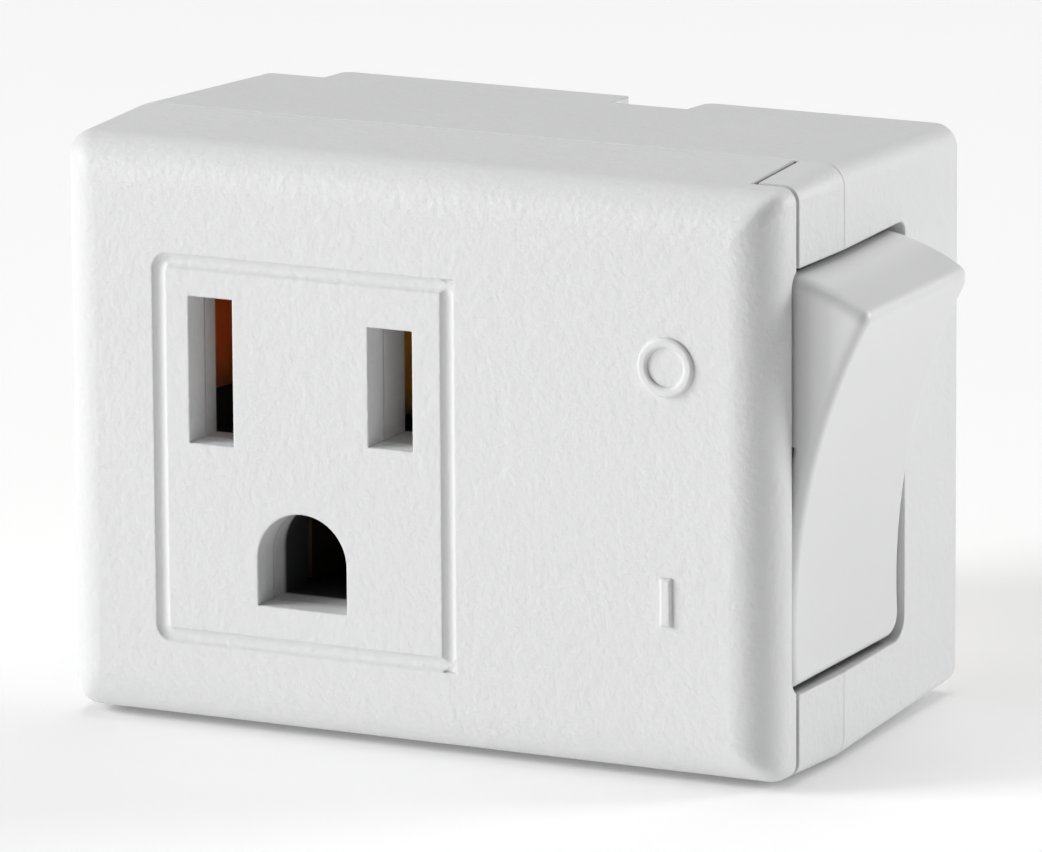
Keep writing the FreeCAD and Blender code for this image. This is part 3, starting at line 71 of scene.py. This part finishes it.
# %% Material helpers: colour and grain
def new_finish(name, colour, roughness):
    """A principled material with a base colour and a roughness."""
    material = bpy.data.materials.new(name)
    material.use_nodes = True
    shader = material.node_tree.nodes["Principled BSDF"]
    shader.inputs["Base Color"].default_value = (*colour, 1)
    shader.inputs["Roughness"].default_value = roughness
    return material, shader


def add_noise(material, grains_per_mm, detail=2.0, stretch=(1, 1, 1)):
    """Noise that sits still on the object, with a known number of grains to the millimetre."""
    tree = material.node_tree
    place = tree.nodes.new("ShaderNodeTexCoord")
    scale = tree.nodes.new("ShaderNodeMapping")
    scale.inputs["Scale"].default_value = [s * grains_per_mm / MM for s in stretch]
    noise = tree.nodes.new("ShaderNodeTexNoise")
    noise.inputs["Scale"].default_value = 1.0
    noise.inputs["Detail"].default_value = detail
    tree.links.new(place.outputs["Object"], scale.inputs["Vector"])
    tree.links.new(scale.outputs["Vector"], noise.inputs["Vector"])
    return noise.outputs["Fac"]


def add_bump(material, shader, height, depth_mm, before=None):
    """Raise the surface by a height map whose full swing is depth_mm."""
    tree = material.node_tree
    bump = tree.nodes.new("ShaderNodeBump")
    bump.inputs["Distance"].default_value = depth_mm * MM
    bump.inputs["Strength"].default_value = 1.0
    tree.links.new(height, bump.inputs["Height"])
    if before is not None:
        tree.links.new(before, bump.inputs["Normal"])
    tree.links.new(bump.outputs["Normal"], shader.inputs["Normal"])
    return bump.outputs["Normal"]


def tint_by(material, shader, amount, dark, light):
    """Let the base colour wander between two near colours as a map goes from 0 to 1."""
    tree = material.node_tree
    mix = tree.nodes.new("ShaderNodeMix")
    mix.data_type = "RGBA"
    mix.inputs["A"].default_value = (*dark, 1)
    mix.inputs["B"].default_value = (*light, 1)
    tree.links.new(amount, mix.inputs["Factor"])
    tree.links.new(mix.outputs["Result"], shader.inputs["Base Color"])


def roughen_by(material, shader, amount, low, high):
    """Let the roughness wander between two values."""
    tree = material.node_tree
    span = tree.nodes.new("ShaderNodeMapRange")
    span.inputs["To Min"].default_value = low
    span.inputs["To Max"].default_value = high
    tree.links.new(amount, span.inputs["Value"])
    tree.links.new(span.outputs["Result"], shader.inputs["Roughness"])


def wear(piece_names, material):
    """Give these pieces the finish."""
    for name in piece_names:
        mesh = nodes[name].data
        mesh.materials.clear()
        mesh.materials.append(material)
    print(material.name, "on", ", ".join(piece_names))


# %% [markdown]
# ## Soft edges and painted shade in the gaps
# A mould can't make a perfectly sharp edge, so every edge of the real adapter is a little round and
# catches a thin line of light. The slots' edges could be rounded in the mesh, but a shader node can
# bend the light round them as a small radius would, and leaves the mesh as it is. The narrow gaps
# between the pieces are almost black in the photograph. White plastic throws a lot of light into
# them in a render, so shade is painted into their colour: it is darkened where another surface
# stands close in front.

# %% Material helpers: edges and gaps
RAY_SAMPLES = 8
GAP_CLOSED = 0.15
GAP_OPEN = 0.42


def soft_edges(material, radius_mm):
    """A normal that runs round sharp edges as if they had a small radius."""
    bevel = material.node_tree.nodes.new("ShaderNodeBevel")
    bevel.samples = RAY_SAMPLES
    bevel.inputs["Radius"].default_value = radius_mm * MM
    return bevel.outputs["Normal"]


def paint_gap_shade(material, shader, reach_mm, dark):
    """Paint shade into the colour where so much is covered that only GAP_CLOSED to GAP_OPEN stays
    free.
    """
    tree = material.node_tree
    free = tree.nodes.new("ShaderNodeAmbientOcclusion")
    free.samples = RAY_SAMPLES
    free.inputs["Distance"].default_value = reach_mm * MM
    span = tree.nodes.new("ShaderNodeMapRange")
    span.inputs["From Min"].default_value = GAP_CLOSED
    span.inputs["From Max"].default_value = GAP_OPEN
    mix = tree.nodes.new("ShaderNodeMix")
    mix.data_type = "RGBA"
    mix.inputs["A"].default_value = (*dark, 1)
    tree.links.new(shader.inputs["Base Color"].links[0].from_socket, mix.inputs["B"])
    tree.links.new(free.outputs["AO"], span.inputs["Value"])
    tree.links.new(span.outputs["Result"], mix.inputs["Factor"])
    tree.links.new(mix.outputs["Result"], shader.inputs["Base Color"])


# %% [markdown]
# ## White shells with a sparked grain
# Both shells are white ABS from a spark-eroded mould, which leaves a fine even grain on the flat
# faces. The grain is far too small to model, so a noise bump makes it. Two sizes of noise, one of
# about 0.4 mm and one more than twice as coarse, keep it from looking like a pattern. A very slight
# wander of the colour stands for the way the plastic lets light in a little.

# %% Shell plastic
SHELL_DARK = (0.755, 0.757, 0.762)
SHELL_LIGHT = (0.785, 0.787, 0.790)
SHELL_ROUGHNESS = 0.48
PLASTIC_IOR = 1.5
FINE_GRAINS = 2.6
COARSE_GRAINS = 1.1
COLOUR_GRAINS = 0.08
GRAIN_DEPTH = 0.045
MOULD_RADIUS = 0.22
GAP_REACH = 0.8
GAP_PAINTED_SHADE = (0.03, 0.03, 0.03)

shell, shader = new_finish("white_shell_grain", SHELL_LIGHT, SHELL_ROUGHNESS)
shader.inputs["IOR"].default_value = PLASTIC_IOR
fine = add_noise(shell, FINE_GRAINS, detail=3.0)
coarse = add_noise(shell, COARSE_GRAINS, detail=1.0)
normal = add_bump(shell, shader, fine, GRAIN_DEPTH, before=soft_edges(shell, MOULD_RADIUS))
add_bump(shell, shader, coarse, GRAIN_DEPTH, before=normal)
tint_by(shell, shader, add_noise(shell, COLOUR_GRAINS), SHELL_DARK, SHELL_LIGHT)
# Painted shade: the shell's colour goes nearly black in narrow gaps.
paint_gap_shade(shell, shader, GAP_REACH, GAP_PAINTED_SHADE)
roughen_by(shell, shader, coarse, low=0.42, high=0.55)
wear(["front_cover", "rear_housing"], shell)

# %% [markdown]
# ## A smoother rocker
# The rocker comes from another mould with a finer surface and rounder edges, so it looks silkier
# than the shells. It gets the same white with a much shallower grain, a lower roughness and a larger
# edge radius.

# %% Rocker plastic
ROCKER_RADIUS = 0.45
ROCKER_GRAINS = 3.2
ROCKER_GRAIN_DEPTH = 0.006
ROCKER_ROUGHNESS = 0.38

silky, shader = new_finish("white_rocker_satin", SHELL_LIGHT, ROCKER_ROUGHNESS)
shader.inputs["IOR"].default_value = PLASTIC_IOR
grain = add_noise(silky, ROCKER_GRAINS, detail=2.0)
add_bump(silky, shader, grain, ROCKER_GRAIN_DEPTH, before=soft_edges(silky, ROCKER_RADIUS))
tint_by(silky, shader, add_noise(silky, 0.06), SHELL_DARK, SHELL_LIGHT)
# Painted shade: the rocker's colour goes nearly black in narrow gaps.
paint_gap_shade(silky, shader, GAP_REACH, GAP_PAINTED_SHADE)
roughen_by(silky, shader, add_noise(silky, 0.9), low=0.34, high=0.42)
wear(["rocker"], silky)

# %% [markdown]
# ## A white block with painted shade inside
# The block behind the outlet is a white moulding, and its rims show in the slots right behind the
# face. Further in, the photograph shows only dark chambers. Their shape can't be seen, and the
# modelled block is closed for a little longer. So shade is painted into its colour, which goes from
# white to nearly black with depth: soon at the left slot and the ground opening, and later at the
# right slot.

# %% Carrier plastic
CARRIER_LIGHT = (0.74, 0.74, 0.74)
CARRIER_SHADE = (0.62, 0.62, 0.61)
CARRIER_PAINTED_SHADE = (0.035, 0.035, 0.036)
FLOW_MARKS = (1, 0.3, 2)
FACE = 29.3
WHITE_LEFT = 3.5
WHITE_RIGHT = 5.4
CHANGE_START = 3.6
CHANGE_END = 4.6
FADE = 0.5


def paint_shade_with_depth(material, shader, shallow, deep):
    """Paint shade at a depth behind the face: shallow on the left, deep right of CHANGE_END."""
    tree = material.node_tree
    spot = tree.nodes.new("ShaderNodeTexCoord")
    parts = tree.nodes.new("ShaderNodeSeparateXYZ")
    limit = tree.nodes.new("ShaderNodeMapRange")
    limit.inputs["From Min"].default_value = CHANGE_START * MM
    limit.inputs["From Max"].default_value = CHANGE_END * MM
    limit.inputs["To Min"].default_value = (shallow - FACE) * MM
    limit.inputs["To Max"].default_value = (deep - FACE) * MM
    past = tree.nodes.new("ShaderNodeMath")
    past.operation = "SUBTRACT"
    fade = tree.nodes.new("ShaderNodeMapRange")
    fade.inputs["From Max"].default_value = FADE * MM
    mix = tree.nodes.new("ShaderNodeMix")
    mix.data_type = "RGBA"
    mix.inputs["B"].default_value = (*CARRIER_PAINTED_SHADE, 1)
    links = tree.links
    links.new(spot.outputs["Object"], parts.inputs["Vector"])
    links.new(parts.outputs["X"], limit.inputs["Value"])
    links.new(parts.outputs["Y"], past.inputs[0])
    links.new(limit.outputs["Result"], past.inputs[1])
    links.new(past.outputs["Value"], fade.inputs["Value"])
    links.new(fade.outputs["Result"], mix.inputs["Factor"])
    links.new(shader.inputs["Base Color"].links[0].from_socket, mix.inputs["A"])
    links.new(mix.outputs["Result"], shader.inputs["Base Color"])


carrier, shader = new_finish("white_insulator", CARRIER_LIGHT, 0.55)
add_bump(carrier, shader, add_noise(carrier, 1.5), 0.01)
flow = add_noise(carrier, 0.8, detail=4.0, stretch=FLOW_MARKS)
tint_by(carrier, shader, flow, CARRIER_SHADE, CARRIER_LIGHT)
# Painted shade: the block's colour goes nearly black deeper behind the face.
paint_shade_with_depth(carrier, shader, WHITE_LEFT, WHITE_RIGHT)
wear(["contact_carrier"], carrier)

# %% [markdown]
# ## Insulators with painted shade, and a bare plunger
# The blade holder and the switch frame are coloured nearly black as painted shade, so nothing bright
# shows behind the contacts. Faint flow marks are enough for them. The plunger slides in the rocker,
# so it is made of an uncoloured slippery plastic, which is a warm off-white.

# %% Holder, frame and plunger plastics
INSULATOR = (0.05, 0.05, 0.05)
INSULATOR_DARK = (0.035, 0.035, 0.035)
INSULATOR_LIGHT = (0.06, 0.06, 0.06)
PLUNGER = (0.72, 0.70, 0.62)

# Painted shade: the holder and the frame are made nearly black.
insulator, shader = new_finish("insulator_painted_shade", INSULATOR, 0.5)
add_bump(insulator, shader, add_noise(insulator, 1.5), 0.01)
flow = add_noise(insulator, 0.25, stretch=(1, 3, 1))
tint_by(insulator, shader, flow, INSULATOR_DARK, INSULATOR_LIGHT)
wear(["blade_holder", "switch_frame"], insulator)

slider, shader = new_finish("natural_plunger", PLUNGER, 0.35)
add_bump(slider, shader, add_noise(slider, 2.0), 0.004)
wear(["plunger"], slider)

# %% [markdown]
# ## Metals
# Contacts are stamped from rolled strip, so their fine lines run one way. A noise stretched along
# one axis gives those lines, both as a bump and as a change in roughness. The left contact is
# copper, which glows orange in its slot, and the right one is brass. The ground contact's brass is
# darkened to nearly black as painted shade, because nothing bright shows in its opening. Drawn and
# turned pieces have no lines, so their noise isn't stretched.

# %% Strip, blades and fasteners
METAL_GRAINS = 6.0
METAL_GRAIN_DEPTH = 0.004
SMOOTHER = 0.06
ROUGHER = 0.1
ALONG_BLADE = (1, 0.06, 1)
ALONG_STRIP = (1, 0.08, 0.6)
EVEN = (1, 1, 1)


def rolled_metal(name, colour, worn_colour, roughness, stretch):
    """Metal with fine lines along one axis and a slightly uneven colour."""
    metal, shader = new_finish(name, colour, roughness)
    shader.inputs["Metallic"].default_value = 1.0
    lines = add_noise(metal, METAL_GRAINS, detail=3.0, stretch=stretch)
    add_bump(metal, shader, lines, METAL_GRAIN_DEPTH)
    roughen_by(metal, shader, lines, low=roughness - SMOOTHER, high=roughness + ROUGHER)
    tint_by(metal, shader, add_noise(metal, 0.5), worn_colour, colour)
    return metal


copper = rolled_metal("contact_copper", (0.95, 0.50, 0.22), (0.85, 0.38, 0.14), 0.38, ALONG_STRIP)
strip_brass = rolled_metal("strip_brass", (0.78, 0.56, 0.22), (0.60, 0.42, 0.17), 0.34, ALONG_STRIP)
blade_brass = rolled_metal("blade_brass", (0.80, 0.62, 0.30), (0.68, 0.52, 0.25), 0.28, ALONG_BLADE)
rivet_brass = rolled_metal("rivet_brass", (0.74, 0.55, 0.25), (0.60, 0.44, 0.20), 0.30, EVEN)
# Painted shade: this brass is made nearly black for the ground contact in its dark opening.
brass_painted_shade = rolled_metal("brass_painted_shade", (0.16, 0.13, 0.09), (0.10, 0.08, 0.06), 0.50, ALONG_STRIP)
silver = rolled_metal("contact_silver", (0.82, 0.81, 0.78), (0.66, 0.65, 0.62), 0.30, EVEN)
zinc = rolled_metal("screw_zinc", (0.62, 0.63, 0.65), (0.48, 0.49, 0.51), 0.32, EVEN)
spring_wire = rolled_metal("spring_wire", (0.52, 0.52, 0.53), (0.38, 0.38, 0.39), 0.30, EVEN)
wear(["neutral_contact", "contact_lever"], copper)
wear(["hot_contact", "line_terminal", "load_terminal"], strip_brass)
# The ground contact gets the nearly black brass as painted shade.
wear(["ground_contact"], brass_painted_shade)
wear(["neutral_blade", "hot_blade", "ground_pin"], blade_brass)
wear(["blade_rivets", "load_rivet"], rivet_brass)
wear(["moving_contact_tip", "fixed_contact_tip"], silver)
wear(["housing_screws"], zinc)
wear(["plunger_spring"], spring_wire)

# %% [markdown]
# ## The camera
# A long lens from a little over half a metre gives the calm, nearly parallel look of a catalogue
# picture. The camera is placed by a turn about the upright axis, a height angle and a small roll, all
# found by matching the outlet's slots and the outline of the box.

# %% Camera
VIEW_TURN = math.radians(26.061)
VIEW_HEIGHT = math.radians(12.867)
VIEW_ROLL = math.radians(0.348)
VIEW_DISTANCE = 0.63964
AIM = Vector((0.015485, -0.0293, -0.001463))
LENS_MM = 353.93
SENSOR_MM = 36.0
NEAREST = 0.01

ahead = Vector((-math.sin(VIEW_TURN) * math.cos(VIEW_HEIGHT),
                math.cos(VIEW_TURN) * math.cos(VIEW_HEIGHT), -math.sin(VIEW_HEIGHT)))
level_right = Vector((math.cos(VIEW_TURN), math.sin(VIEW_TURN), 0))
level_down = ahead.cross(level_right)
right = math.cos(VIEW_ROLL) * level_right + math.sin(VIEW_ROLL) * level_down
up = math.sin(VIEW_ROLL) * level_right - math.cos(VIEW_ROLL) * level_down

camera_data = bpy.data.cameras.new("catalogue_camera")
camera_data.lens = LENS_MM
camera_data.sensor_width = SENSOR_MM
camera_data.clip_start = NEAREST
camera = bpy.data.objects.new("catalogue_camera", camera_data)
camera.matrix_world = Matrix((right, up, -ahead)).transposed().to_4x4()
camera.location = AIM - VIEW_DISTANCE * ahead
bpy.context.scene.collection.objects.link(camera)
bpy.context.scene.camera = camera
print("camera at", [round(v, 4) for v in camera.location])

# %% [markdown]
# ## The floor
# The adapter stands on a sheet of white paper that is almost as bright as the ground of the
# photograph. A wide flat mesh is enough. Its own faint glow lifts the shadow round the adapter, so
# the lamps needn't be so strong that the white plastic burns out.

# %% Floor
FLOOR_SIZE = 6.0
FLOOR_GLOW = 0.16


def make_floor(level):
    """A wide flat sheet at this height."""
    mesh = bpy.data.meshes.new("floor")
    half = FLOOR_SIZE / 2
    corners = [(-half, -half, level), (half, -half, level), (half, half, level), (-half, half, level)]
    mesh.from_pydata(corners, [], [(0, 1, 2, 3)])
    floor = bpy.data.objects.new("floor", mesh)
    bpy.context.scene.collection.objects.link(floor)
    return floor


floor = make_floor(cad_low.z)
paper, shader = new_finish("floor_paper", (0.9, 0.9, 0.9), 0.9)
add_bump(paper, shader, add_noise(paper, 0.5), 0.01)
shader.inputs["Emission Color"].default_value = (1, 1, 1, 1)
shader.inputs["Emission Strength"].default_value = FLOOR_GLOW
floor.data.materials.append(paper)
print("floor at", round(cad_low.z / MM, 2), "mm")

# %% [markdown]
# ## Five soft lamps
# A photographer would put softboxes round the adapter. Two stand at the left front, one low and one
# high, so the face is bright and its right-hand rounding turns dark. One stands behind on the right
# and brings the switch side up again, and two hang above. The power of each was found by rendering
# the adapter with one lamp at a time and mixing those pictures until they came near the photograph.

# %% Lights
CENTRE = (0.01, -0.015, -0.005)
LAMP_DISTANCE = 1.2
SIDE_BOX = 0.5
TOP_BOX = 0.7


def soft_light(name, place, target, size, power):
    """A square softbox that looks at a target."""
    data = bpy.data.lights.new(name, "AREA")
    data.shape = "SQUARE"
    data.size = size
    data.energy = power
    lamp = bpy.data.objects.new(name, data)
    lamp.location = place
    lamp.rotation_euler = (Vector(target) - Vector(place)).to_track_quat("-Z", "Y").to_euler()
    bpy.context.scene.collection.objects.link(lamp)
    print(name, "at", [round(v, 2) for v in place])


def around(turn, height):
    """A place round the adapter: degrees from the room towards the right, and degrees up."""
    turn = math.radians(turn)
    height = math.radians(height)
    level = LAMP_DISTANCE * math.cos(height)
    return (CENTRE[0] + level * math.sin(turn), CENTRE[1] - level * math.cos(turn),
            LAMP_DISTANCE * math.sin(height))


soft_light("key_left_low", around(turn=-40, height=5), CENTRE, SIDE_BOX, power=4.9)
soft_light("key_left_high", around(turn=-60, height=25), CENTRE, SIDE_BOX, power=9.0)
soft_light("side_rear_right", around(turn=130, height=15), CENTRE, SIDE_BOX, power=8.3)
soft_light("top_soft", around(turn=0, height=88), CENTRE, TOP_BOX, power=4.6)
soft_light("top_rear", around(turn=180, height=60), CENTRE, TOP_BOX, power=2.4)

# %% [markdown]
# ## The sky
# The sky stands for the light that the walls of a room throw back. The lamps do nearly all the work
# here, so it only keeps the shadows from going black. The Standard view shows the whites as they are,
# where a film-like view would turn them grey.

# %% Sky and view
SKY_STRENGTH = 0.03

world = bpy.data.worlds.new("studio_sky")
world.use_nodes = True
world.node_tree.nodes["Background"].inputs["Color"].default_value = (1, 1, 1, 1)
world.node_tree.nodes["Background"].inputs["Strength"].default_value = SKY_STRENGTH
bpy.context.scene.world = world
bpy.context.scene.view_settings.view_transform = "Standard"
print("sky strength", SKY_STRENGTH)
